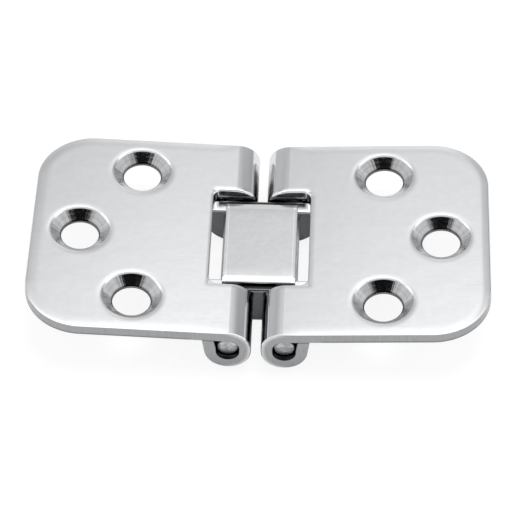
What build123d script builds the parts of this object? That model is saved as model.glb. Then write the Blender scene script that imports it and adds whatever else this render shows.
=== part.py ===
from build123d import *
import os

# Sizes of the hinge in millimetres

# Leaves: flat plates that lie side by side when the hinge is open
sheet = 2.0
leaf_width = 44.5
leaf_reach = 35.2
leaf_corner_radius = 10.0
edge_round = 0.25
open_lift = 2.5

# Screw holes in each leaf, measured from its pin
hole_diameter = 6.6
countersink_diameter = 10.4
countersink_lip = 0.35
hole_land = 0.4
inner_hole_reach = 16.85
inner_hole_spacing = 29.2
outer_hole_reach = 26.8

# Pins and the knuckles that turn on them
pin_spacing = 9.6
pin_diameter = 3.8
pin_clearance = 0.05
pin_recess = 0.95
pin_chamfer = 0.3
eye_rise = 0.7
roll_flare = 10.0
roll_end_gap = 0.12

# Notch in each leaf, around the centre link
notch_length = 21.8
notch_corner_radius = 1.5
cap_side_gap = 2.42
fold_clearance = 0.12

# Centre link: a cap over two end plates
cap_width = 12.65
cap_seat = 1.35
cap_sink = 1.2
cap_round = 0.2
cap_end_bevel = 1.4
cap_end_drop = 0.25
cap_side_bevel = 0.6
cap_side_drop = 0.1
plate_thickness = 2.7
plate_wall = 3.4
plate_edge_round = 0.5
plate_side_play = 0.3
stop_gap = 0.05
web_pin_gap = 0.4
web_drop = 2.6

# Heights and radii that follow from the sizes above
pin_radius = pin_diameter / 2
bore_radius = pin_radius + pin_clearance
knuckle_radius = bore_radius + sheet
leaf_top_rise = knuckle_radius + eye_rise
leaf_underside_rise = bore_radius + eye_rise
plate_radius = pin_radius + plate_wall
pin_height = plate_radius
shoulder_rise = leaf_underside_rise - stop_gap
cap_top_rise = leaf_top_rise - cap_sink
cap_bottom_rise = bore_radius
cap_corner = Vector(cap_width / 2 - cap_round - pin_spacing / 2, cap_top_rise - cap_round)
cap_swing = max(cap_top_rise, cap_corner.length + cap_round)
notch_reach = max((cap_width - pin_spacing) / 2 + cap_side_gap, cap_swing + fold_clearance)
plate_outer_face = notch_length / 2 - plate_side_play
plate_inner_face = plate_outer_face - plate_thickness
cap_length = 2 * (plate_inner_face + cap_seat)


def rolled_profile():
    """Side view of one leaf with its pin axis at the origin: a flat sheet and the tall roll at its end."""
    end_height = leaf_underside_rise - roll_end_gap
    rise = Vector(0, 1).rotate(Axis.Z, -roll_flare)
    outer_turn = Vector(knuckle_radius, 0).rotate(Axis.Z, -roll_flare)
    inner_turn = Vector(bore_radius, 0).rotate(Axis.Z, -roll_flare)
    outer_end = outer_turn + rise * ((end_height - outer_turn.Y) / rise.Y)
    inner_end = inner_turn + rise * ((end_height - inner_turn.Y) / rise.Y)
    outline = [
        Line((leaf_reach, leaf_top_rise), (0, leaf_top_rise)),
        RadiusArc((0, leaf_top_rise), (-knuckle_radius, eye_rise), -knuckle_radius),
        Line((-knuckle_radius, eye_rise), (-knuckle_radius, 0)),
        ThreePointArc((-knuckle_radius, 0), (0, -knuckle_radius), outer_turn),
        Line(outer_turn, outer_end),
        Line(outer_end, inner_end),
        Line(inner_end, inner_turn),
        ThreePointArc(inner_turn, (0, -bore_radius), (-bore_radius, 0)),
        Line((-bore_radius, 0), (-bore_radius, eye_rise)),
        RadiusArc((-bore_radius, eye_rise), (0, leaf_underside_rise), bore_radius),
        Line((0, leaf_underside_rise), (leaf_reach, leaf_underside_rise)),
        Line((leaf_reach, leaf_underside_rise), (leaf_reach, leaf_top_rise)),
    ]
    return Plane.XZ * make_face(outline)


def leaf_outline():
    """Plan view of one leaf: two rounded outer corners and the notch at the pin side."""
    inner_side = -knuckle_radius - sheet
    length = leaf_reach - inner_side
    blank = Rectangle(length, leaf_width, align=(Align.MIN, Align.CENTER))
    blank = fillet(blank.vertices().group_by(Axis.X)[-1], leaf_corner_radius)
    notch = Rectangle(notch_reach - inner_side, notch_length, align=(Align.MIN, Align.CENTER))
    notch = fillet(notch.vertices().group_by(Axis.X)[-1], notch_corner_radius)
    return Pos(inner_side, 0) * (blank - notch)


def screw_hole_places():
    """The three hole centres of a leaf, with its pin axis at x = 0."""
    inner_pair = [(inner_hole_reach, side * inner_hole_spacing / 2) for side in (-1, 1)]
    return inner_pair + [(outer_hole_reach, 0)]


def screw_hole():
    """A countersunk hole with a rounded lip, cut from the top face of a leaf."""
    lip_radius = countersink_diameter / 2
    hole_radius = hole_diameter / 2
    outline = Polyline(
        (0, sheet),
        (lip_radius + sheet, sheet),
        (lip_radius + sheet, 0),
        (lip_radius, 0),
        (hole_radius, hole_land - sheet),
        (hole_radius, -sheet * 2),
        (0, -sheet * 2),
        close=True,
    )
    section = make_face(outline)
    lip_corner = section.vertices().sort_by_distance((lip_radius, 0))[0]
    section = fillet(lip_corner, countersink_lip)
    return Pos(0, 0, leaf_top_rise) * revolve(Plane.XZ * section, Axis.Z)


def flat_leaf():
    """One leaf, lying flat, with its pin along Y through the origin."""
    leaf = extrude(rolled_profile(), leaf_width / 2, both=True)
    leaf &= extrude(leaf_outline(), 2 * knuckle_radius, both=True)
    under_notch = Box(2 * leaf_reach, notch_length, 4 * knuckle_radius)
    leaf -= Pos(0, 0, leaf_underside_rise - 2 * knuckle_radius) * under_notch
    top_face = leaf.faces().sort_by(Axis.Z)[-1]
    knuckle_seam = top_face.edges().group_by(Axis.X)[0]
    leaf = fillet(top_face.edges() - knuckle_seam, edge_round)
    for place in screw_hole_places():
        leaf -= Pos(*place) * screw_hole()
    return leaf


def turned_leaf():
    """The right leaf at rest on its pin, with its outer end lifted a little."""
    at_pin = Pos(pin_spacing / 2, 0, pin_height)
    return at_pin * Rot(0, -open_lift, 0) * flat_leaf()


def hinge_pin():
    """One straight pin with chamfered ends, standing just inside the knuckles' ends."""
    length = leaf_width - 2 * pin_recess
    pin = chamfer(Cylinder(pin_radius, length).edges().filter_by(GeomType.CIRCLE), pin_chamfer)
    return Pos(pin_spacing / 2, 0, pin_height) * Rot(90, 0, 0) * pin


def end_plate():
    """One end plate of the link around its pin axes: rounded below, flat where the leaves stop."""
    blank = SlotCenterToCenter(pin_spacing, 2 * plate_radius)
    below_shoulder = Pos(0, shoulder_rise) * Rectangle(
        pin_spacing + 2 * plate_radius, 2 * plate_radius, align=(Align.CENTER, Align.MAX)
    )
    plate = extrude(Plane.XZ * (blank & below_shoulder), -plate_thickness)
    across = plate.edges().filter_by(Axis.Y)
    plate = fillet(plate.edges() - across, plate_edge_round)
    return Pos(0, plate_inner_face, 0) * plate


def sloped_section(width, thickness, bevel, drop):
    """A flat bar seen from its end, with both top corners sloped down."""
    half = width / 2
    outline = Polyline(
        (-half, 0),
        (half, 0),
        (half, thickness - drop),
        (half - bevel, thickness),
        (bevel - half, thickness),
        (-half, thickness - drop),
        close=True,
    )
    return make_face(outline)


def cap_plate():
    """The cap between the leaves, its top sloped down a little towards all four sides."""
    thickness = cap_top_rise - cap_bottom_rise
    across = sloped_section(cap_width, thickness, cap_side_bevel, cap_side_drop)
    along = sloped_section(cap_length, thickness, cap_end_bevel, cap_end_drop)
    cap = extrude(Plane.XZ * across, cap_length / 2, both=True)
    cap &= extrude(Plane.YZ * along, cap_width / 2, both=True)
    sides = cap.faces().filter_by(lambda face: face.normal_at().Z == 0)
    rim = sides.edges().filter_by(lambda edge: edge.center().Z > thickness - 2 * cap_end_drop)
    return Pos(0, 0, cap_bottom_rise) * fillet(rim, cap_round)


def web():
    """The wall between the pins that ties the cap to both end plates."""
    width = pin_spacing - pin_diameter - 2 * web_pin_gap
    height = web_drop + cap_bottom_rise
    wall = Box(width, 2 * plate_inner_face, height, align=(Align.CENTER, Align.CENTER, Align.MIN))
    return Pos(0, 0, -web_drop) * wall


def neck():
    """The solid foot of the cap on one end plate."""
    foot = Box(cap_width, cap_seat, cap_bottom_rise, align=(Align.CENTER, Align.MIN, Align.MIN))
    return Pos(0, plate_inner_face, 0) * foot


def centre_link():
    """The cast link: cap, web and two end plates, bored for both pins."""
    back_end = end_plate() + neck()
    link = cap_plate() + web() + back_end + mirror(back_end, about=Plane.XZ)
    bore = Rot(90, 0, 0) * Cylinder(pin_radius, leaf_width)
    for side in (-1, 1):
        link -= Pos(side * pin_spacing / 2, 0, 0) * bore
    return Pos(0, 0, pin_height) * link


def build_part():
    os.makedirs("parts", exist_ok=True)
    right_leaf = turned_leaf()
    right_pin = hinge_pin()
    solids = {
        "left_leaf": mirror(right_leaf, about=Plane.YZ),
        "right_leaf": right_leaf,
        "left_pin": mirror(right_pin, about=Plane.YZ),
        "right_pin": right_pin,
        "centre_link": centre_link(),
    }
    for name, solid in solids.items():
        export_step(solid, f"parts/{name}.step")


build_part()
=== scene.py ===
import math
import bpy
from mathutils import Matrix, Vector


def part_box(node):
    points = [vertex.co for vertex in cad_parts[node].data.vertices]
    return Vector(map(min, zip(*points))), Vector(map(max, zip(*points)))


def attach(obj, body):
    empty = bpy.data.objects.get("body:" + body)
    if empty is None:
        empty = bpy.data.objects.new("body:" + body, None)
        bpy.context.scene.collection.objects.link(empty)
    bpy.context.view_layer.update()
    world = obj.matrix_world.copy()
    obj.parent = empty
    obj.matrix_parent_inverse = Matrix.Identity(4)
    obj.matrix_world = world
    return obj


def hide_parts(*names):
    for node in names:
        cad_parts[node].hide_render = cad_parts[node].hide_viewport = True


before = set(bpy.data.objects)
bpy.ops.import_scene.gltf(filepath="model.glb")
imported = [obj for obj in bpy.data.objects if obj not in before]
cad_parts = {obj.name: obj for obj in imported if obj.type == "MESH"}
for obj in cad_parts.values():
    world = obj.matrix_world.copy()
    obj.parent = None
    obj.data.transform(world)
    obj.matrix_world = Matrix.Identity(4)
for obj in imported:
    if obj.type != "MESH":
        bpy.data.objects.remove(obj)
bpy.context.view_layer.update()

from types import SimpleNamespace

import bmesh
import bpy
from bpy.props import FloatProperty, FloatVectorProperty, PointerProperty
from mathutils import Matrix, Vector

bl_info = {
    "name": "Table Hinge",
    "version": (1, 0, 0),
    "blender": (4, 5, 0),
    "location": "3D View > Sidebar > Table Hinge",
    "description": "Finishes a polished steel table hinge and sets up its studio",
    "category": "Object",
}

MILLIMETRES = 1000.0
LEAVES = ("left_leaf", "right_leaf")
PINS = ("left_pin", "right_pin")


# Sizes and colours that a user may change


def length(name, description, default):
    return FloatProperty(
        name=name, description=description, default=default,
        subtype="DISTANCE", unit="LENGTH", precision=5,
    )


def amount(name, description, default):
    return FloatProperty(
        name=name, description=description, default=default, min=0.0, max=1.0, subtype="FACTOR"
    )


def angle(name, description, default):
    return FloatProperty(
        name=name, description=description, default=default, subtype="ANGLE", unit="ROTATION"
    )


def colour(name, description, default):
    return FloatVectorProperty(
        name=name, description=description, default=(*default, 1.0), size=4,
        min=0.0, max=1.0, subtype="COLOR",
    )


class LeafSettings(bpy.types.PropertyGroup):
    steel: colour("Steel", "Colour of the polished top of the leaves", (0.79, 0.80, 0.815))
    sheared: colour("Sheared sides", "Colour of the cut sides of the sheet", (0.415, 0.42, 0.43))
    turned: colour("Countersinks", "Colour of the turned countersinks", (0.575, 0.58, 0.593))
    gloss: amount("Roughness", "Roughness of the polished steel", 0.09)
    lift: angle("Lift", "Angle that the leaves are raised by at rest", math.radians(2.5))
    sheet: length("Sheet", "Thickness of the sheet", 0.002)
    reach: length("Reach", "From the pin to the outer end of the leaf", 0.0352)
    corner: length("Corner radius", "Radius of the two outer corners", 0.010)
    underside: length("Underside", "Height of the leaf's underside above the pin axis", 0.00265)
    notch_reach: length("Notch depth", "From the pin to the bottom of the notch", 0.003945)
    notch_half: length("Half notch", "Half the length of the notch along the pin", 0.0109)
    eye: length("Eye radius", "Radius of the roll's eye, around the pin", 0.00195)
    eye_rise: length("Eye rise", "How much taller the roll's eye is than it is wide", 0.0007)
    # Painted shade: how far past each pin the knuckle's side that faces the other knuckle is
    # painted dark
    left_gap_shade: length(
        "Left knuckles buffed", "How far past the left pin the buffing wheel reached", 0.0029
    )
    right_gap_shade: length(
        "Right knuckles buffed", "How far past the right pin the buffing wheel reached", 0.0036
    )
    buffed_edge: length(
        "Buffed edge", "Width of the strip beside an edge that the buffing wheel wore down", 0.0025
    )
    hole: length("Countersink radius", "Radius of the countersinks at the top", 0.0052)
    bore: length("Bore radius", "Radius of the screw holes below the countersinks", 0.0033)
    inner_reach: length("Inner holes", "From the pin to the two inner holes", 0.01685)
    inner_half: length("Half hole spacing", "Half the distance between the inner holes", 0.0146)
    outer_reach: length("Outer hole", "From the pin to the outer hole", 0.0268)


class PinSettings(bpy.types.PropertyGroup):
    steel: colour("Steel", "Colour of the pins", (0.65, 0.66, 0.68))
    edge: length("Edge radius", "Rounding at the ends of a pin", 0.0003)
    dome: length("Dome", "How far the middle of an end stands proud", 0.00006)


class LinkSettings(bpy.types.PropertyGroup):
    cap: colour("Cap", "Colour of the polished cap", (0.68, 0.69, 0.705))
    cast: colour("Casting", "Colour of the faces below the cap", (0.495, 0.50, 0.51))
    cap_half_width: length("Half cap width", "Half the width of the cap across the pins", 0.006325)
    cap_half_length: length("Half cap length", "Half the length of the cap along the pins", 0.00925)


class StageSettings(bpy.types.PropertyGroup):
    floor_size: length("Floor size", "Side of the square floor", 4.0)
    card_distance: length("Dark card", "From the hinge to the dark card around the camera", 0.75)


# Nodes


def feed(tree, value, socket):
    """Joins a socket to another one, or gives it a value."""
    if isinstance(value, bpy.types.NodeSocket):
        tree.links.new(value, socket)
    else:
        socket.default_value = value


def put(tree, kind, inputs=None, **settings):
    """Adds a shader node, with its settings and inputs."""
    node = tree.nodes.new(kind)
    for name, value in settings.items():
        setattr(node, name, value)
    for key, value in (inputs or {}).items():
        feed(tree, value, node.inputs[key])
    return node


def calc(tree, operation, *values):
    node = put(tree, "ShaderNodeMath", dict(enumerate(values)), operation=operation)
    return node.outputs["Value"]


def times(tree, first, *others):
    """The product of two or more values."""
    for other in others:
        first = calc(tree, "MULTIPLY", first, other)
    return first


def plus(tree, first, *others):
    """The sum of two or more values."""
    for other in others:
        first = calc(tree, "ADD", first, other)
    return first


def minus(tree, first, second):
    return calc(tree, "SUBTRACT", first, second)


def point(tree, operation, *values):
    """The result of a vector operation, which for a length is a number."""
    node = put(tree, "ShaderNodeVectorMath", dict(enumerate(values)), operation=operation)
    return node.outputs["Value" if operation == "LENGTH" else "Vector"]


def split(tree, vector):
    """The X, Y and Z of a vector."""
    return put(tree, "ShaderNodeSeparateXYZ", {"Vector": vector}).outputs


def joined(tree, **axes):
    """A vector from its X, Y and Z, of which those left out are zero."""
    return put(tree, "ShaderNodeCombineXYZ", axes).outputs["Vector"]


def fade(tree, value, low, high, start=0.0, end=1.0):
    """A smooth step of a value between two limits."""
    limits = {"Value": value, "From Min": low, "From Max": high, "To Min": start, "To Max": end}
    node = put(tree, "ShaderNodeMapRange", limits, interpolation_type="SMOOTHSTEP")
    return node.outputs["Result"]


def fade_out(tree, value, low, high):
    """One below the low limit, falling smoothly to nothing at the high one."""
    return fade(tree, value, low, high, 1.0, 0.0)


def near(place, limits):
    """Two limits that are measured from a place."""
    return [place + limit for limit in limits]


def worn(tree, distance, width):
    """One at an edge, falling smoothly to nothing at a width from it."""
    limits = {"Value": distance, "From Min": 0.0, "From Max": width, "To Min": 1.0, "To Max": 0.0}
    return calc(tree, "POWER", put(tree, "ShaderNodeMapRange", limits).outputs["Result"], 3.0)


def shaded(shade, share):
    """A colour made darker, or lighter where the share is over one."""
    return [channel * share for channel in shade[:3]] + [1.0]


def blend(tree, factor, first, second):
    """Two colours mixed by a factor."""
    node = put(tree, "ShaderNodeMix", {0: factor, 6: first, 7: second}, data_type="RGBA")
    return node.outputs[2]


def blend_directions(tree, factor, first, second):
    """A direction in the scene, between two directions given on the piece."""
    between = put(tree, "ShaderNodeMix", {0: factor, 4: first, 5: second}, data_type="VECTOR")
    spaces = {"vector_type": "NORMAL", "convert_from": "OBJECT", "convert_to": "WORLD"}
    turned = put(tree, "ShaderNodeVectorTransform", {"Vector": between.outputs[1]}, **spaces)
    return point(tree, "NORMALIZE", turned.outputs["Vector"])


def noise(tree, position, scale, detail, roughness=0.5):
    inputs = {"Vector": position, "Scale": scale, "Detail": detail, "Roughness": roughness}
    return put(tree, "ShaderNodeTexNoise", inputs).outputs["Fac"]


def stretched(tree, position, scale, turn=(0.0, 0.0, 0.0)):
    inputs = {"Vector": position, "Scale": scale, "Rotation": turn}
    return put(tree, "ShaderNodeMapping", inputs).outputs["Vector"]


def in_millimetres(tree):
    """The place on a piece in millimetres."""
    coordinates = put(tree, "ShaderNodeTexCoord").outputs
    return stretched(tree, coordinates["Object"], (MILLIMETRES,) * 3)


def emboss(tree, shader, height, **facing):
    """Gives a shader its relief, from a height in millimetres over the surface's own facing."""
    inputs = {"Height": height, "Distance": 1.0 / MILLIMETRES, "Strength": 1.0, **facing}
    feed(tree, put(tree, "ShaderNodeBump", inputs).outputs["Normal"], shader.inputs["Normal"])


def new_group(name, inputs, outputs):
    """A shader node group with named sockets, its input node's outputs and its output node."""
    group = bpy.data.node_groups.new(name, "ShaderNodeTree")
    kinds = {"vector": "NodeSocketVector", "number": "NodeSocketFloat"}
    for label, kind, default in inputs:
        socket = group.interface.new_socket(label, in_out="INPUT", socket_type=kinds[kind])
        socket.default_value = default
    for label, kind in outputs:
        group.interface.new_socket(label, in_out="OUTPUT", socket_type=kinds[kind])
    entry = group.nodes.new("NodeGroupInput")
    return group, entry.outputs, group.nodes.new("NodeGroupOutput")


def socket_label(name):
    return name.replace("_", " ").capitalize()


def finish_group(group, leave, **values):
    for name, value in values.items():
        feed(group, value, leave.inputs[socket_label(name)])
    return group


def use_group(tree, effect, **values):
    """Places a shared effect in a material, and builds its node group the first time."""
    group = bpy.data.node_groups.get(effect) or EFFECTS[effect](effect)
    node = put(tree, "ShaderNodeGroup", node_tree=group)
    for name, value in values.items():
        feed(tree, value, node.inputs[socket_label(name)])
    return node.outputs


# Effects that the materials share, in millimetres

NO_PLACE = (0.0, 0.0, 0.0)

# Turn, lines per width and seed of each set of hairlines
HAIRLINES = ((0.35, 9.0, 0.0), (-0.9, 7.0, 40.0), (1.45, 11.0, 90.0))
HAIRLINE_STRETCH = 0.16
HAIRLINE_SHARPNESS = (0.66, 0.74)
PATCH_SCALE = 0.16
PATCH_LIMITS = (0.48, 0.62)


def scratches_group(name):
    """Sparse straight hairlines in three directions."""
    group, given, leave = new_group(
        name,
        [("Position", "vector", NO_PLACE), ("Amount", "number", 0.5)],
        [("Lines", "number")],
    )
    position = given["Position"]
    lines = 0.0
    for turn, width, seed in HAIRLINES:
        turned = stretched(group, position, (HAIRLINE_STRETCH, width, width), (0.0, 0.0, turn))
        fine = noise(group, point(group, "ADD", turned, (seed, seed, 0.0)), 1.0, detail=1.0)
        seeded = point(group, "ADD", position, (seed, 0.0, seed))
        patch = noise(group, seeded, PATCH_SCALE, detail=1.0)
        line = fade(group, fine, *HAIRLINE_SHARPNESS)
        line = times(group, line, fade(group, patch, *PATCH_LIMITS))
        lines = calc(group, "MAXIMUM", lines, line)
    return finish_group(group, leave, lines=times(group, lines, given["Amount"]))


def buffing_group(name):
    """The slow waves and cloudy patches that a buffing wheel leaves in polished steel."""
    group, given, leave = new_group(
        name,
        [("Position", "vector", NO_PLACE), ("Scale", "number", 0.35)],
        [("Height", "number"), ("Cloud", "number")],
    )
    position, scale = given["Position"], given["Scale"]
    waves = noise(group, position, scale, detail=2.0, roughness=0.45)
    cloud = noise(group, position, times(group, scale, 4.0), detail=4.0, roughness=0.6)
    return finish_group(group, leave, height=waves, cloud=cloud)


def cast_group(name):
    """Grainy skin of cast or drawn steel."""
    group, given, leave = new_group(
        name,
        [("Position", "vector", NO_PLACE), ("Scale", "number", 2.5)],
        [("Height", "number"), ("Mottle", "number")],
    )
    position, scale = given["Position"], given["Scale"]
    grain = noise(group, position, scale, detail=5.0, roughness=0.65)
    mottle = noise(group, position, times(group, scale, 0.35), detail=3.0, roughness=0.6)
    return finish_group(group, leave, height=grain, mottle=mottle)


def outline_group(name):
    """Distance in from the edges of a leaf that lies flat with its pin at x = 0."""
    group, given, leave = new_group(
        name,
        [
            ("Position", "vector", NO_PLACE),
            ("Reach", "number", 35.0),
            ("Half width", "number", 22.0),
            ("Corner", "number", 10.0),
            ("Notch reach", "number", 4.0),
            ("Notch half", "number", 11.0),
        ],
        [("Outer", "number"), ("Notch", "number")],
    )

    def past(value, limit):
        return calc(group, "MAXIMUM", minus(group, value, limit), 0.0)

    axes = split(group, given["Position"])
    along = calc(group, "ABSOLUTE", axes["Y"])
    past_x = minus(group, axes["X"], minus(group, given["Reach"], given["Corner"]))
    past_y = minus(group, along, minus(group, given["Half width"], given["Corner"]))
    rounded = joined(group, X=past(past_x, 0.0), Y=past(past_y, 0.0))
    straight = calc(group, "MINIMUM", calc(group, "MAXIMUM", past_x, past_y), 0.0)
    from_middle = plus(group, point(group, "LENGTH", rounded), straight)
    outer = minus(group, given["Corner"], from_middle)
    from_notch = joined(
        group, X=past(axes["X"], given["Notch reach"]), Y=past(along, given["Notch half"])
    )
    notch = point(group, "LENGTH", from_notch)
    return finish_group(group, leave, outer=outer, notch=notch)


def holes_group(name):
    """Distance from the nearest screw hole's axis, and the direction, which differs per hole."""
    group, given, leave = new_group(
        name,
        [
            ("Position", "vector", NO_PLACE),
            ("Inner reach", "number", 17.0),
            ("Inner half", "number", 15.0),
            ("Outer reach", "number", 27.0),
        ],
        [("Distance", "number"), ("Direction", "vector")],
    )
    axes = split(group, given["Position"])
    along = calc(group, "ABSOLUTE", axes["Y"])
    is_inner = calc(group, "GREATER_THAN", along, times(group, given["Inner half"], 0.5))
    inward = times(group, is_inner, minus(group, given["Inner reach"], given["Outer reach"]))
    x = minus(group, axes["X"], plus(group, given["Outer reach"], inward))
    side = times(group, calc(group, "SIGN", axes["Y"]), is_inner, given["Inner half"])
    flat = joined(group, X=x, Y=minus(group, axes["Y"], side))
    direction = point(group, "ADD", point(group, "NORMALIZE", flat), joined(group, Z=side))
    distance = point(group, "LENGTH", flat)
    return finish_group(group, leave, distance=distance, direction=direction)


EFFECTS = {
    "Hairline scratches": scratches_group,
    "Buffed waves": buffing_group,
    "Cast skin": cast_group,
    "Leaf outline": outline_group,
    "Screw holes": holes_group,
}


def new_material(name, viewport):
    """A metal, with its node tree and its shader."""
    material = bpy.data.materials.new(name)
    material.use_nodes = True
    material.diffuse_color = viewport
    shader = material.node_tree.nodes["Principled BSDF"]
    shader.inputs["Metallic"].default_value = 1.0
    return material, material.node_tree, shader


def dress(piece, material):
    """Gives a piece its material."""
    piece.data.materials.clear()
    piece.data.materials.append(material)


# Leaves: limits and depths in millimetres, and shares of a colour

PAST_KNUCKLE = (6.0, 7.0)
SHEARED_TURN = (0.80, 0.97)
TOP_SIDE = (0.05, 0.15)
CONE_RIM = (-0.25, -0.05)
EYE_WALL = (0.02, 0.10)
BURR = (0.10, 0.26)
FRONT_ROUND = (0.28, 0.36)
FRONT_TURN = (-0.2, -0.05)
# Where the painted shade on the knuckles' facing sides ends: past the pin, and towards the back
GAP_SHADE_LIMIT = (-0.2, 0.0)
GAP_SHADE_BACK_END = (16.5, 19.0)
# Where the painted highlight along the knuckles' rims lies
RIM_HIGHLIGHT_BAND = (0.1, 0.9)
RIM_HIGHLIGHT_SIDE = (-1.5, 1.0)
LOWER_EDGE = 0.5

SHEAR_MARK_SCALE = (7.0, 7.0, 0.5)
SHEAR_MARKS = (0.35, 0.65, 0.0, 0.5)
# Streaks in the painted shade on the knuckles' facing sides
GAP_SHADE_MARKS = (0.4, 0.6)
TURNING_MARKS = (0.4, 0.6)
CLOUDS = (0.3, 0.7, 0.0, 0.35)
RINGS_IN_MARKS = 0.6
STREAKS_IN_MARKS = 0.4

EDGE_DEPTH = 0.21
EDGE_WEAR_ON_KNUCKLE = (-0.5, 4.5, 0.15, 1.0)
EDGE_WEAR_IN_FRONT = (-19.0, -12.0, 0.45, 1.0)
NOTCH_SIDE_DEPTH = 0.08
NOTCH_END = (-1.0, 0.0)
BACK_LIP_DEPTH = 0.17
BACK_LIP_WIDTH = 1.4
BACK_LIP_CORNER = (-1.0, 0.5)
RIM_DEPTH = 0.06
WAVE_DEPTH = 0.02
SCRATCH_DEPTH = 0.002
STREAK_DEPTH = 0.08
RING_DEPTH = 0.032
SHEAR_DEPTH = 0.03

SCRATCH_ROUGHNESS = 0.12
SHEARED_ROUGHNESS = 0.06
CLOUD_ROUGHNESS = 0.03
CONE_ROUGHNESS = 0.02

CLOUD_SHARE = 0.93
SCRATCH_SHARE = 0.7
SCRATCH_TINT = 0.25
TURNING_SHARE = 0.72
BURR_SHARE = 0.18
# Shares of the steel for the painted shade on the knuckles' facing sides, lighter and darker
# streaks
GAP_SHADE_SHARES = (0.34, 0.12)
# Share of the steel for the painted shade in the knuckles' eyes
EYE_SHADE_SHARE = 0.05
SHEAR_SHARE = 0.7
LOWER_EDGE_SHARE = 0.45
# Share of the cut sides' colour for the painted highlight along the knuckles' rims
RIM_HIGHLIGHT_SHARE = 1.7
# Share of the cut sides' colour for the painted shade in the knuckles' eyes
CUT_EYE_SHADE_SHARE = 0.1


def flat_leaf_position(tree, settings, mirrored):
    """The place on a leaf in millimetres, with the leaf laid flat and its pin axis at zero."""
    low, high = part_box("right_pin")
    pin = Vector(((low.x + high.x) / 2, 0.0, (low.z + high.z) / 2)) * MILLIMETRES
    turn = Matrix.Rotation(settings.lift, 3, "Y")
    place = {
        "Vector": put(tree, "ShaderNodeTexCoord").outputs["Object"],
        "Location": -(turn @ pin),
        "Rotation": (0.0, settings.lift, 0.0),
        "Scale": (-MILLIMETRES if mirrored else MILLIMETRES, MILLIMETRES, MILLIMETRES),
    }
    return put(tree, "ShaderNodeMapping", place).outputs["Vector"]


def leaf_places(tree, settings, mirrored):
    """What the marks on a leaf are placed by: distances, patterns, and masks from zero to one."""
    position = flat_leaf_position(tree, settings, mirrored)
    axes = split(tree, position)
    facing = put(tree, "ShaderNodeTexCoord").outputs["Normal"]
    normal = split(tree, facing)
    outline = use_group(
        tree, "Leaf outline", position=position,
        reach=settings.reach * MILLIMETRES,
        half_width=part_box("right_leaf")[1].y * MILLIMETRES,
        corner=settings.corner * MILLIMETRES,
        notch_reach=settings.notch_reach * MILLIMETRES,
        notch_half=settings.notch_half * MILLIMETRES,
    )
    holes = use_group(
        tree, "Screw holes", position=position,
        inner_reach=settings.inner_reach * MILLIMETRES,
        inner_half=settings.inner_half * MILLIMETRES,
        outer_reach=settings.outer_reach * MILLIMETRES,
    )
    from_hole = holes["Distance"]
    buffed = use_group(tree, "Buffed waves", position=position, scale=0.22)
    lines = use_group(tree, "Hairline scratches", position=position, amount=0.8)["Lines"]

    past_knuckle = fade(tree, axes["X"], *PAST_KNUCKLE)
    steep = calc(tree, "POWER", minus(tree, 1.0, calc(tree, "POWER", normal["Z"], 2.0)), 0.5)
    steep_side = times(tree, steep, past_knuckle)
    upright = calc(tree, "MAXIMUM", calc(tree, "ABSOLUTE", normal["Y"]), steep_side)
    on_top = fade(tree, axes["Z"], *near(settings.underside * MILLIMETRES, TOP_SIDE))
    inside_rim = fade_out(tree, from_hole, *near(settings.hole * MILLIMETRES, CONE_RIM))

    eye_rise = settings.eye_rise * MILLIMETRES
    raised = calc(tree, "MINIMUM", calc(tree, "MAXIMUM", axes["Z"], 0.0), eye_rise)
    beside_pin = joined(tree, X=axes["X"], Y=minus(tree, axes["Z"], raised))
    from_pin = point(tree, "LENGTH", beside_pin)
    drawn_down = stretched(tree, position, SHEAR_MARK_SCALE)
    return SimpleNamespace(
        axes=axes,
        facing=facing,
        normal=normal,
        from_edge=outline["Outer"],
        from_notch=outline["Notch"],
        from_hole=from_hole,
        from_pin=from_pin,
        waves=buffed["Height"],
        cloud=buffed["Cloud"],
        lines=lines,
        streaks=noise(tree, holes["Direction"], 4.5, detail=4.0, roughness=0.65),
        rings=noise(tree, joined(tree, X=from_hole), 3.2, detail=3.0, roughness=0.6),
        shear_marks=noise(tree, drawn_down, 1.0, detail=3.0, roughness=0.7),
        past_knuckle=past_knuckle,
        sheared=fade(tree, upright, *SHEARED_TURN),
        on_top=on_top,
        cone=times(tree, inside_rim, on_top),
        in_eye=fade_out(tree, from_pin, *near(settings.eye * MILLIMETRES, EYE_WALL)),
    )


def turned_colour(tree, settings, at):
    """A countersink: light and dark turning marks, and a dark burr around the bore."""
    rings = times(tree, at.rings, RINGS_IN_MARKS)
    marks = plus(tree, rings, times(tree, at.streaks, STREAKS_IN_MARKS))
    dark = shaded(settings.turned, TURNING_SHARE)
    turned = blend(tree, fade(tree, marks, *TURNING_MARKS), settings.turned, dark)
    burr = fade_out(tree, at.from_hole, *near(settings.bore * MILLIMETRES, BURR))
    burr = times(tree, burr, at.on_top)
    return blend(tree, burr, turned, shaded(settings.turned, BURR_SHARE))


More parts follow.
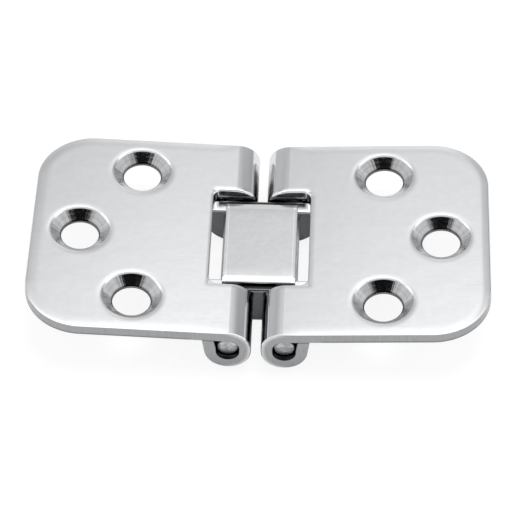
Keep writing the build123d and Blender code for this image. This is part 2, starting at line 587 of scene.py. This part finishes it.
def polished_colour(tree, settings, at, mirrored):
    """The buffed faces, with painted shade on the knuckles' sides that face each other, and painted
    shade in the knuckles' eyes.
    """
    steel = settings.steel
    cloudy = fade(tree, at.cloud, *CLOUDS)
    polished = blend(tree, cloudy, steel, shaded(steel, CLOUD_SHARE))
    scratched = times(tree, at.lines, SCRATCH_TINT)
    polished = blend(tree, scratched, polished, shaded(steel, SCRATCH_SHARE))
    polished = blend(tree, at.cone, polished, turned_colour(tree, settings, at))
    # Painted shade on the knuckles' sides that face each other, with streaks, stopping short of the
    # back end
    reached = -(settings.left_gap_shade if mirrored else settings.right_gap_shade) * MILLIMETRES
    painted_gap_shade = times(
        tree,
        fade_out(tree, at.axes["X"], *near(reached, GAP_SHADE_LIMIT)),
        fade_out(tree, at.axes["Y"], *GAP_SHADE_BACK_END),
    )
    lighter, darker = (shaded(steel, share) for share in GAP_SHADE_SHARES)
    gap_shade_colour = blend(tree, fade(tree, at.shear_marks, *GAP_SHADE_MARKS), lighter, darker)
    polished = blend(tree, painted_gap_shade, polished, gap_shade_colour)
    # Painted shade: the eye inside each knuckle is painted nearly black
    return blend(tree, at.in_eye, polished, shaded(steel, EYE_SHADE_SHARE))


def cut_colour(tree, settings, at):
    """The sheared sides, darker along the underside, with a painted highlight along the knuckles'
    rims and painted shade in their eyes.
    """
    sheared = settings.sheared
    marks = fade(tree, at.shear_marks, *SHEAR_MARKS)
    cut = blend(tree, marks, sheared, shaded(sheared, SHEAR_SHARE))
    underside = settings.underside * MILLIMETRES
    lower_edge = fade_out(tree, at.axes["Z"], underside, underside + LOWER_EDGE)
    lower_edge = times(tree, lower_edge, at.past_knuckle)
    cut = blend(tree, lower_edge, cut, shaded(sheared, LOWER_EDGE_SHARE))
    knuckle = (settings.eye + settings.sheet) * MILLIMETRES
    # A painted highlight on the cut side beside each knuckle's outer rim
    painted_rim_highlight = times(
        tree,
        fade_out(tree, minus(tree, knuckle, at.from_pin), *RIM_HIGHLIGHT_BAND),
        fade_out(tree, at.axes["X"], *RIM_HIGHLIGHT_SIDE),
    )
    cut = blend(tree, painted_rim_highlight, cut, shaded(sheared, RIM_HIGHLIGHT_SHARE))
    # Painted shade in the knuckle's eye
    return blend(tree, at.in_eye, cut, shaded(sheared, CUT_EYE_SHADE_SHARE))


def edge_wear(tree, settings, at):
    """How deep the leaf is worn beside its outer edge: less on its knuckles and in front."""
    return times(
        tree,
        worn(tree, at.from_edge, settings.buffed_edge * MILLIMETRES),
        fade(tree, at.axes["X"], *EDGE_WEAR_ON_KNUCKLE),
        fade(tree, at.axes["Y"], *EDGE_WEAR_IN_FRONT),
        EDGE_DEPTH,
    )


def notch_wear(tree, settings, at):
    """How deep the leaf is worn beside the notch, and on the lip behind it."""
    past_notch = minus(tree, at.axes["Y"], settings.notch_half * MILLIMETRES)
    beside = times(
        tree,
        worn(tree, at.from_notch, settings.buffed_edge * MILLIMETRES / 2),
        fade_out(tree, past_notch, *NOTCH_END),
        NOTCH_SIDE_DEPTH,
    )
    back_lip = times(
        tree,
        worn(tree, calc(tree, "MAXIMUM", past_notch, 0.0), BACK_LIP_WIDTH),
        fade_out(tree, at.axes["X"], *near(settings.notch_reach * MILLIMETRES, BACK_LIP_CORNER)),
        fade(tree, past_notch, *NOTCH_END),
        BACK_LIP_DEPTH,
    )
    return plus(tree, beside, back_lip)


def rim_wear(tree, settings, at):
    """How deep the leaf is worn around its countersinks."""
    from_rim = minus(tree, at.from_hole, settings.hole * MILLIMETRES)
    width = settings.buffed_edge * MILLIMETRES / 2
    return times(tree, worn(tree, from_rim, width), at.on_top, RIM_DEPTH)


def leaf_height(tree, settings, at):
    """The leaf's relief in millimetres."""
    raised = plus(
        tree,
        times(tree, at.waves, WAVE_DEPTH),
        times(tree, at.streaks, at.cone, STREAK_DEPTH),
        times(tree, at.rings, at.cone, RING_DEPTH),
        times(tree, at.shear_marks, at.sheared, SHEAR_DEPTH),
    )
    lowered = plus(
        tree,
        edge_wear(tree, settings, at),
        notch_wear(tree, settings, at),
        rim_wear(tree, settings, at),
        times(tree, at.lines, SCRATCH_DEPTH),
    )
    return minus(tree, raised, lowered)


def leaf_facing(tree, settings, at, mirrored):
    """The way that a face shades: the small round at the front edge shades as the leaf's top."""
    front_round = times(
        tree,
        fade_out(tree, at.from_edge, *FRONT_ROUND),
        fade_out(tree, at.normal["Y"], *FRONT_TURN),
        minus(tree, 1.0, at.sheared),
    )
    tilt = math.sin(settings.lift) * (1.0 if mirrored else -1.0)
    return blend_directions(tree, front_round, at.facing, (tilt, 0.0, math.cos(settings.lift)))


def leaf_material(name, settings, mirrored):
    material, tree, shader = new_material(name, settings.steel)
    at = leaf_places(tree, settings, mirrored)
    polished = polished_colour(tree, settings, at, mirrored)
    steel = blend(tree, at.sheared, polished, cut_colour(tree, settings, at))
    feed(tree, steel, shader.inputs["Base Color"])
    rough = plus(
        tree,
        settings.gloss,
        times(tree, at.lines, SCRATCH_ROUGHNESS),
        times(tree, at.sheared, SHEARED_ROUGHNESS),
        times(tree, at.cloud, CLOUD_ROUGHNESS),
        times(tree, at.cone, CONE_ROUGHNESS),
    )
    feed(tree, rough, shader.inputs["Roughness"])
    facing = leaf_facing(tree, settings, at, mirrored)
    emboss(tree, shader, leaf_height(tree, settings, at), Normal=facing)
    return material


class HINGE_OT_polish_leaves(bpy.types.Operator):
    """Give both leaves their buffed steel, with sheared sides and turned countersinks"""

    bl_idname = "hinge.polish_leaves"
    bl_label = "Polish Leaves"

    def execute(self, context):
        settings = context.scene.hinge_leaf
        for name in LEAVES:
            material = leaf_material(f"buffed steel of {name}", settings, name == "left_leaf")
            dress(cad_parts[name], material)
        return {"FINISHED"}


# Pins: limits in millimetres, and shares of a colour or of the dome

PIN_SIDES = 64
PIN_EDGE_STEPS = 4
DOME_STEPS = (0.0, 0.44, 0.75, 0.94)
DOME_RING = 0.25
# Painted shade: the band inside each end's rim that is painted nearly black
RIM_SHADE_BAND = (-0.28, -0.08)
PIN_END = (-3.0, -1.0)
SHAFT_SKIN = 0.25
# Share of the steel for the painted shade round the ends' rims
RIM_SHADE_SHARE = 0.06
DRAWN_SHARES = (1.12, 0.66)
DRAWN_MOTTLE = (0.35, 0.65)
DRAWN_ROUGHNESS = 0.30
MOTTLE_ROUGHNESS = 0.15
DRAWN_GRAIN_SCALE = (5.0, 0.12, 5.0)
DRAWN_GRAIN_DEPTH = 0.012
SKIN_DEPTH = 0.08
DRAWN_LINE_DEPTH = 0.01


def pin_material(settings):
    """Drawn steel with fine lines along it, mottled ends, and painted shade round the ends' rims.
    """
    material, tree, shader = new_material("drawn steel", settings.steel)
    position = in_millimetres(tree)
    skin = use_group(tree, "Cast skin", position=position, scale=2.6)
    lines = use_group(tree, "Hairline scratches", position=position, amount=1.0)["Lines"]
    low, high = (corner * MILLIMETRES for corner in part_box("right_pin"))
    axes = split(tree, position)
    along = calc(tree, "ABSOLUTE", axes["Y"])
    skin_share = fade(tree, along, *near(high.y, PIN_END), SHAFT_SKIN, 1.0)
    lighter, darker = (shaded(settings.steel, share) for share in DRAWN_SHARES)
    mottle = times(tree, fade(tree, skin["Mottle"], *DRAWN_MOTTLE), skin_share)
    steel = blend(tree, mottle, lighter, darker)
    beside = minus(tree, calc(tree, "ABSOLUTE", axes["X"]), (low.x + high.x) / 2)
    above = minus(tree, axes["Z"], (low.z + high.z) / 2)
    from_axis = point(tree, "LENGTH", joined(tree, X=beside, Y=above))
    # Painted shade round the rim of each end, where it sits in the knuckle
    painted_rim_shade = times(
        tree,
        fade(tree, from_axis, *near((high.x - low.x) / 2, RIM_SHADE_BAND)),
        fade(tree, along, *near(high.y, PIN_END)),
    )
    steel = blend(tree, painted_rim_shade, steel, shaded(settings.steel, RIM_SHADE_SHARE))
    feed(tree, steel, shader.inputs["Base Color"])
    rough = plus(tree, times(tree, skin["Mottle"], MOTTLE_ROUGHNESS), DRAWN_ROUGHNESS)
    feed(tree, rough, shader.inputs["Roughness"])
    drawn = stretched(tree, position, DRAWN_GRAIN_SCALE)
    raised = plus(
        tree,
        times(tree, skin["Height"], skin_share, SKIN_DEPTH),
        times(tree, noise(tree, drawn, 1.0, detail=3.0, roughness=0.6), DRAWN_GRAIN_DEPTH),
    )
    emboss(tree, shader, minus(tree, raised, times(tree, lines, DRAWN_LINE_DEPTH)))
    return material


def pin_shape(name, settings):
    """A round pin with rounded, slightly domed ends, where the CAD pin is."""
    low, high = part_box(name)
    radius = (high.x - low.x) / 2
    span = high.y - low.y - 2 * settings.dome
    shape = bmesh.new()
    ring = bmesh.ops.create_circle(shape, cap_ends=False, segments=PIN_SIDES, radius=radius)
    bmesh.ops.translate(shape, verts=ring["verts"], vec=(0.0, 0.0, -span / 2))
    sides = bmesh.ops.extrude_edge_only(shape, edges=shape.edges[:])["geom"]
    top_ring = [part for part in sides if isinstance(part, bmesh.types.BMVert)]
    bmesh.ops.translate(shape, verts=top_ring, vec=(0.0, 0.0, span))
    rims = [edge for edge in shape.edges if edge.is_boundary]
    caps = bmesh.ops.edgeloop_fill(shape, edges=rims)["faces"]
    ends = [edge for face in caps for edge in face.edges]
    bmesh.ops.bevel(
        shape, geom=ends, offset=settings.edge, segments=PIN_EDGE_STEPS, profile=0.5,
        affect="EDGES", material=-1,
    )
    flats = [face for face in shape.faces if len(face.verts) == PIN_SIDES]
    for below, above in zip(DOME_STEPS, DOME_STEPS[1:]):
        inset = (radius - settings.edge) * DOME_RING
        bmesh.ops.inset_region(shape, faces=flats, thickness=inset, use_even_offset=True)
        for face in flats:
            rise = face.normal * settings.dome * (above - below)
            bmesh.ops.translate(shape, verts=face.verts, vec=rise)
    lying = Matrix.Rotation(math.radians(90), 3, "X")
    bmesh.ops.rotate(shape, verts=shape.verts, matrix=lying)
    bmesh.ops.translate(shape, verts=shape.verts, vec=(low + high) / 2)
    bmesh.ops.recalc_face_normals(shape, faces=shape.faces)
    for face in shape.faces:
        face.smooth = True
    return new_piece(f"{name}_steel", shape)


def new_piece(name, shape):
    """An object in the scene from a finished bmesh."""
    mesh = bpy.data.meshes.new(name)
    shape.to_mesh(mesh)
    shape.free()
    piece = bpy.data.objects.new(name, mesh)
    bpy.context.scene.collection.objects.link(piece)
    return piece


class HINGE_OT_turn_pins(bpy.types.Operator):
    """Put a drawn steel pin with domed ends in each pair of knuckles"""

    bl_idname = "hinge.turn_pins"
    bl_label = "Turn Pins"

    def execute(self, context):
        settings = context.scene.hinge_pin
        material = pin_material(settings)
        for name in PINS:
            piece = pin_shape(name, settings)
            dress(piece, material)
            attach(piece, "link")
            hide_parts(name)
        return {"FINISHED"}


# Centre link: limits and depths in millimetres, and shares of a colour

CAP_EDGE = (-0.6, -0.3)
CAP_SIDE_BEVEL = (-0.75, -0.6)
CAP_END_BEVEL = 1.4
END_WEAR_WIDTH = 2.6
END_WEAR_DEPTH = 0.03
PLATE_SHOULDER = (5.6, 6.4)
PLATE_OUTER_FACE = (10.05, 10.3)
PLATE_TURN = (0.85, 0.97)
# Painted shade on the casting just past each end of the cap, in the middle
CAP_SHADE_START = (-0.1, 0.0)
CAP_SHADE_END = (0.85, 1.05)
CAP_SHADE_HALF = (2.5, 4.0)
SHOULDER_LEVEL = (0.8, 0.95)
BEVEL_LEVEL = (0.9, 0.95)
CASTING_MOTTLE = (0.35, 0.65, 0.0, 0.5)

# From the casting below to the cap's top
CASTING_ROUGHNESS = (0.14, 0.10)
CASTING_GRAIN_DEPTH = (0.02, 0.004)
CASTING_MOTTLE_ROUGHNESS = 0.05
CASTING_WAVE_DEPTH = 0.015
CASTING_LINE_DEPTH = 0.002

# Share of the cap's colour for the painted highlights on the shoulders and on the cap's bevels
HIGHLIGHT_SHARE = 1.41
CAP_SHARE = 0.93
CAST_SHARE = 0.8
# Share of the casting for the painted shade on the end plates' faces
PLATE_SHADE_SHARE = 0.42
# Share of the casting for the painted shade just past the cap's ends
CAP_SHADE_SHARE = 0.08


def cast_colour(tree, settings, at):
    """The casting below the cap: painted shade on the plate faces and just past the cap's ends, and
    painted highlights on the shoulders beside the cap.
    """
    cast = blend(tree, at.tone, settings.cast, shaded(settings.cast, CAST_SHARE))
    past_cap = minus(tree, at.along, settings.cap_half_length * MILLIMETRES)
    # Painted shade just past each end of the cap, in the middle
    painted_shade_past_cap = times(
        tree,
        fade(tree, past_cap, *CAP_SHADE_START),
        fade_out(tree, past_cap, *CAP_SHADE_END),
        fade_out(tree, at.across, *CAP_SHADE_HALF),
    )
    cast = blend(tree, painted_shade_past_cap, cast, shaded(settings.cast, CAP_SHADE_SHARE))
    # Painted shade on the end plates' faces
    plate_shade = calc(
        tree, "MAXIMUM",
        fade(tree, calc(tree, "ABSOLUTE", at.normal["Y"]), *PLATE_TURN),
        fade(tree, at.along, *PLATE_OUTER_FACE),
    )
    cast = blend(tree, plate_shade, cast, shaded(settings.cast, PLATE_SHADE_SHARE))
    # Painted highlight on the level shoulders beside the cap
    level = fade(tree, at.normal["Z"], *SHOULDER_LEVEL)
    painted_shoulder_highlight = times(tree, fade(tree, at.across, *PLATE_SHOULDER), level)
    return blend(tree, painted_shoulder_highlight, cast, shaded(settings.cap, HIGHLIGHT_SHARE))


def cap_colour(tree, settings, at):
    """The polished cap, with a painted highlight on the bevels along its sides."""
    cap = blend(tree, at.tone, settings.cap, shaded(settings.cap, CAP_SHARE))
    half_width = settings.cap_half_width * MILLIMETRES
    # Painted highlight on the bevels along the cap's sides
    beside = fade(tree, at.across, *near(half_width, CAP_SIDE_BEVEL))
    bevel = times(tree, beside, fade(tree, at.normal["Z"], *BEVEL_LEVEL))
    return blend(tree, bevel, cap, shaded(settings.cap, HIGHLIGHT_SHARE))


def end_wear(tree, settings, at):
    """How deep the cap is worn beside the bevels at its ends."""
    bevel_start = settings.cap_half_length * MILLIMETRES - CAP_END_BEVEL
    from_bevel = calc(tree, "MAXIMUM", minus(tree, bevel_start, at.along), 0.0)
    return times(tree, worn(tree, from_bevel, END_WEAR_WIDTH), END_WEAR_DEPTH)


def link_material(settings):
    material, tree, shader = new_material("polished casting", settings.cap)
    position = in_millimetres(tree)
    skin = use_group(tree, "Cast skin", position=position, scale=1.8)
    buffed = use_group(tree, "Buffed waves", position=position, scale=0.5)
    lines = use_group(tree, "Hairline scratches", position=position, amount=0.5)["Lines"]
    axes = split(tree, position)
    at = SimpleNamespace(
        normal=split(tree, put(tree, "ShaderNodeTexCoord").outputs["Normal"]),
        across=calc(tree, "ABSOLUTE", axes["X"]),
        along=calc(tree, "ABSOLUTE", axes["Y"]),
        tone=fade(tree, skin["Mottle"], *CASTING_MOTTLE),
    )
    up_to_cap = (axes["Z"], *near(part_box("centre_link")[1].z * MILLIMETRES, CAP_EDGE))
    steel = blend(
        tree, fade(tree, *up_to_cap), cast_colour(tree, settings, at),
        cap_colour(tree, settings, at),
    )
    feed(tree, steel, shader.inputs["Base Color"])
    rough = plus(
        tree,
        fade(tree, *up_to_cap, *CASTING_ROUGHNESS),
        times(tree, skin["Mottle"], CASTING_MOTTLE_ROUGHNESS),
    )
    feed(tree, rough, shader.inputs["Roughness"])
    raised = plus(
        tree,
        times(tree, skin["Height"], fade(tree, *up_to_cap, *CASTING_GRAIN_DEPTH)),
        times(tree, buffed["Height"], CASTING_WAVE_DEPTH),
    )
    lowered = plus(tree, times(tree, lines, CASTING_LINE_DEPTH), end_wear(tree, settings, at))
    emboss(tree, shader, minus(tree, raised, lowered))
    return material


class HINGE_OT_finish_link(bpy.types.Operator):
    """Give the cast centre link its polished cap and its duller end plates, with painted shade and
    painted highlights
    """

    bl_idname = "hinge.finish_link"
    bl_label = "Finish Centre Link"

    def execute(self, context):
        dress(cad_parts["centre_link"], link_material(context.scene.hinge_link))
        return {"FINISHED"}


# Stage: places and sizes in metres

WHITE = (1.0, 1.0, 1.0, 1.0)
FLOOR_SEEN = (0.18, 0.18, 0.18, 1.0)
FLOOR_LIT = (0.80, 0.80, 0.80, 1.0)
FLOOR_GLOW_SEEN = 0.86
FLOOR_GLOW_IN_STEEL = 0.10
WORLD_LIGHT = 0.75

PHOTO_WIDTH = 510
FOCAL_LENGTH_IN_PIXELS = 2773.82
CAMERA_PLACE = Vector((0.013259, -0.325337, 0.365483))
CAMERA_RIGHT = Vector((0.99929494, 0.03707421, -0.00592666))
CAMERA_UP = Vector((-0.02352861, 0.74139815, 0.6706528))
CAMERA_BACK = Vector((0.02925794, -0.67004051, 0.74174773))
CAMERA_TURN = Matrix((CAMERA_RIGHT, CAMERA_UP, CAMERA_BACK)).transposed().to_4x4()

# The dark card around the camera, as shares of its distance, and of its own half size
DARK_CARD_HALF = 0.92
DARK_CARD_RISE = 0.05
DARK_CARD_FLATNESS = 2.5
DARK_CARD_EDGE = 0.7
DARK_CARD_GLOW = 0.005

# The back wall and the ceiling: sizes, places, and limits on the card with the glow at each
WALL_SIZE = 1.6
WALL_PLACE = (0.0, 0.6, 0.82)
WALL_FOOT = (-0.50, -0.28, 0.14, 0.0)
WALL_RISE = (-0.30, 0.10, 0.80, 1.38)
WALL_RIGHT = (0.1, 0.8, 0.72, 0.40)
WALL_LEFT = (-0.8, -0.1, -0.14, 0.0)
STRIP_START = (-0.14, 0.02)
STRIP_END = (0.06, 0.14)
STRIP_GLOW = 0.29

CEILING_PLACE = (0.0, 0.14, 0.84)
CEILING_SIZE = 0.7
CEILING_STRETCH = 3.0
CEILING_STRIP = (0.0, 0.08, 1.5, 0.75)

LAMP_PLACE = (0.1, 0.1, 0.9)
LAMP_SIZE = 0.5
LAMP_POWER = 3.0


def facing_hinge(place):
    """A place in the studio, turned towards the hinge."""
    turn = Vector(place).to_track_quat("Z", "Y").to_matrix().to_4x4()
    return Matrix.Translation(place) @ turn


def add_camera():
    """The camera at the photograph's angle."""
    data = bpy.data.cameras.new("camera")
    data.sensor_width = 36.0
    data.lens = FOCAL_LENGTH_IN_PIXELS / PHOTO_WIDTH * data.sensor_width
    camera = bpy.data.objects.new("camera", data)
    camera.matrix_world = Matrix.Translation(CAMERA_PLACE) @ CAMERA_TURN
    bpy.context.scene.collection.objects.link(camera)
    bpy.context.scene.camera = camera


def empty_material(name):
    """A material with no nodes yet."""
    material = bpy.data.materials.new(name)
    material.use_nodes = True
    material.node_tree.nodes.clear()
    return material, material.node_tree


def floor_material():
    """A pale floor that shows white, and darker in the steel than it is."""
    material, tree = empty_material("pale floor")
    rays = put(tree, "ShaderNodeLightPath").outputs
    seen = calc(tree, "MAXIMUM", rays["Is Camera Ray"], rays["Is Transmission Ray"])
    matt = put(tree, "ShaderNodeBsdfDiffuse", {"Color": blend(tree, seen, FLOOR_LIT, FLOOR_SEEN)})
    strength = calc(
        tree, "MAXIMUM",
        times(tree, seen, FLOOR_GLOW_SEEN),
        times(tree, rays["Is Glossy Ray"], FLOOR_GLOW_IN_STEEL),
    )
    glow = put(tree, "ShaderNodeEmission", {"Color": WHITE, "Strength": strength})
    both = put(tree, "ShaderNodeAddShader", {0: matt.outputs[0], 1: glow.outputs[0]})
    put(tree, "ShaderNodeOutputMaterial", {"Surface": both.outputs[0]})
    return material


def square(name, size, material):
    """A flat square of the stage, at the origin."""
    shape = bmesh.new()
    bmesh.ops.create_grid(shape, x_segments=1, y_segments=1, size=size / 2)
    piece = new_piece(name, shape)
    dress(piece, material)
    return piece


def glowing_card(name, size, paint):
    """A card whose glow paint works out from the place on it, and that shows in steel only."""
    material, tree = empty_material(name.replace("_", " "))
    axes = split(tree, put(tree, "ShaderNodeTexCoord").outputs["Object"])
    glow = put(tree, "ShaderNodeEmission", {"Color": WHITE, "Strength": paint(tree, axes)})
    put(tree, "ShaderNodeOutputMaterial", {"Surface": glow.outputs[0]})
    card = square(name, size, material)
    card.visible_camera = False
    card.visible_diffuse = False
    card.visible_shadow = False
    card.visible_transmission = False
    return card


def add_dark_card(distance):
    """The dark room around the camera, which the backs of the countersinks reflect."""
    half = distance * DARK_CARD_HALF

    def paint(tree, axes):
        height = minus(tree, axes["Y"], DARK_CARD_RISE * distance)
        window = joined(tree, X=axes["X"], Y=times(tree, height, DARK_CARD_FLATNESS))
        outward = fade(tree, point(tree, "LENGTH", window), half * DARK_CARD_EDGE, half)
        glow = times(tree, calc(tree, "POWER", outward, 2.0), 1.0 - DARK_CARD_GLOW)
        return plus(tree, glow, DARK_CARD_GLOW)

    card = glowing_card("dark_room_card", 2 * half, paint)
    card.matrix_world = Matrix.Translation(CAMERA_BACK * distance) @ CAMERA_TURN


def add_back_wall():
    """The wall behind the hinge, which its tops reflect: lighter high up and behind the link."""

    def paint(tree, axes):
        rise = plus(
            tree, fade(tree, axes["Y"], *WALL_FOOT), fade(tree, axes["Y"], *WALL_RISE)
        )
        strip = times(
            tree,
            fade(tree, axes["X"], *STRIP_START),
            fade_out(tree, axes["X"], *STRIP_END),
            STRIP_GLOW,
        )
        wall = plus(
            tree, fade(tree, axes["X"], *WALL_RIGHT), fade(tree, axes["X"], *WALL_LEFT)
        )
        return times(tree, rise, plus(tree, strip, wall))

    card = glowing_card("back_card", WALL_SIZE, paint)
    standing = Matrix.Rotation(math.radians(90), 4, "X")
    card.matrix_world = Matrix.Translation(WALL_PLACE) @ standing


def add_ceiling():
    """The ceiling, with a bright strip above the back wall for the buffed edges and lips."""

    def paint(tree, axes):
        return fade(tree, axes["Y"], *CEILING_STRIP)

    card = glowing_card("ceiling_card", CEILING_SIZE, paint)
    wide = Matrix.Diagonal((CEILING_STRETCH, 1.0, 1.0, 1.0))
    card.matrix_world = facing_hinge(CEILING_PLACE) @ wide


def add_world():
    """Plain white light, which shows as a white background to the camera and in the steel."""
    world = bpy.data.worlds.new("studio")
    bpy.context.scene.world = world
    world.use_nodes = True
    tree = world.node_tree
    tree.nodes.clear()
    rays = put(tree, "ShaderNodeLightPath").outputs
    shown = calc(tree, "MAXIMUM", rays["Is Camera Ray"], rays["Is Glossy Ray"])
    shown = calc(tree, "MAXIMUM", shown, rays["Is Transmission Ray"])
    strength = fade(tree, shown, 0.0, 1.0, WORLD_LIGHT, 1.0)
    light = put(tree, "ShaderNodeBackground", {"Color": WHITE, "Strength": strength})
    put(tree, "ShaderNodeOutputWorld", {"Surface": light.outputs[0]})


def add_lamp():
    """A soft round lamp above the hinge, which doesn't show in the steel."""
    data = bpy.data.lights.new("overhead_lamp", "AREA")
    data.shape = "DISK"
    data.size = LAMP_SIZE
    data.energy = LAMP_POWER
    lamp = bpy.data.objects.new("overhead_lamp", data)
    lamp.visible_glossy = False
    lamp.matrix_world = facing_hinge(LAMP_PLACE)
    bpy.context.scene.collection.objects.link(lamp)


class HINGE_OT_build_stage(bpy.types.Operator):
    """Set up the floor, the reflector cards, the lamp and the camera"""

    bl_idname = "hinge.build_stage"
    bl_label = "Build Stage"

    def execute(self, context):
        settings = context.scene.hinge_stage
        square("floor", settings.floor_size, floor_material())
        add_dark_card(settings.card_distance)
        add_back_wall()
        add_world()
        add_ceiling()
        add_lamp()
        add_camera()
        context.scene.view_settings.view_transform = "Standard"
        return {"FINISHED"}


# Add-on


class HINGE_PT_sidebar(bpy.types.Panel):
    """The hinge's pieces, with their sizes and colours"""

    bl_label = "Table Hinge"
    bl_idname = "HINGE_PT_sidebar"
    bl_space_type = "VIEW_3D"
    bl_region_type = "UI"
    bl_category = "Table Hinge"

    def draw(self, context):
        for operator, settings in STEPS:
            box = self.layout.box()
            box.operator(operator.bl_idname)
            group = getattr(context.scene, settings)
            for name in group.__annotations__:
                box.prop(group, name)


SETTINGS = {
    "hinge_leaf": LeafSettings,
    "hinge_pin": PinSettings,
    "hinge_link": LinkSettings,
    "hinge_stage": StageSettings,
}
STEPS = (
    (HINGE_OT_polish_leaves, "hinge_leaf"),
    (HINGE_OT_turn_pins, "hinge_pin"),
    (HINGE_OT_finish_link, "hinge_link"),
    (HINGE_OT_build_stage, "hinge_stage"),
)
CLASSES = (*SETTINGS.values(), *(operator for operator, _ in STEPS), HINGE_PT_sidebar)


def register():
    for kind in CLASSES:
        bpy.utils.register_class(kind)
    for name, group in SETTINGS.items():
        setattr(bpy.types.Scene, name, PointerProperty(type=group))


def unregister():
    for name in SETTINGS:
        delattr(bpy.types.Scene, name)
    for kind in reversed(CLASSES):
        bpy.utils.unregister_class(kind)


def main():
    register()
    bpy.ops.hinge.polish_leaves()
    bpy.ops.hinge.turn_pins()
    bpy.ops.hinge.finish_link()
    bpy.ops.hinge.build_stage()


if __name__ == "__main__":
    main()
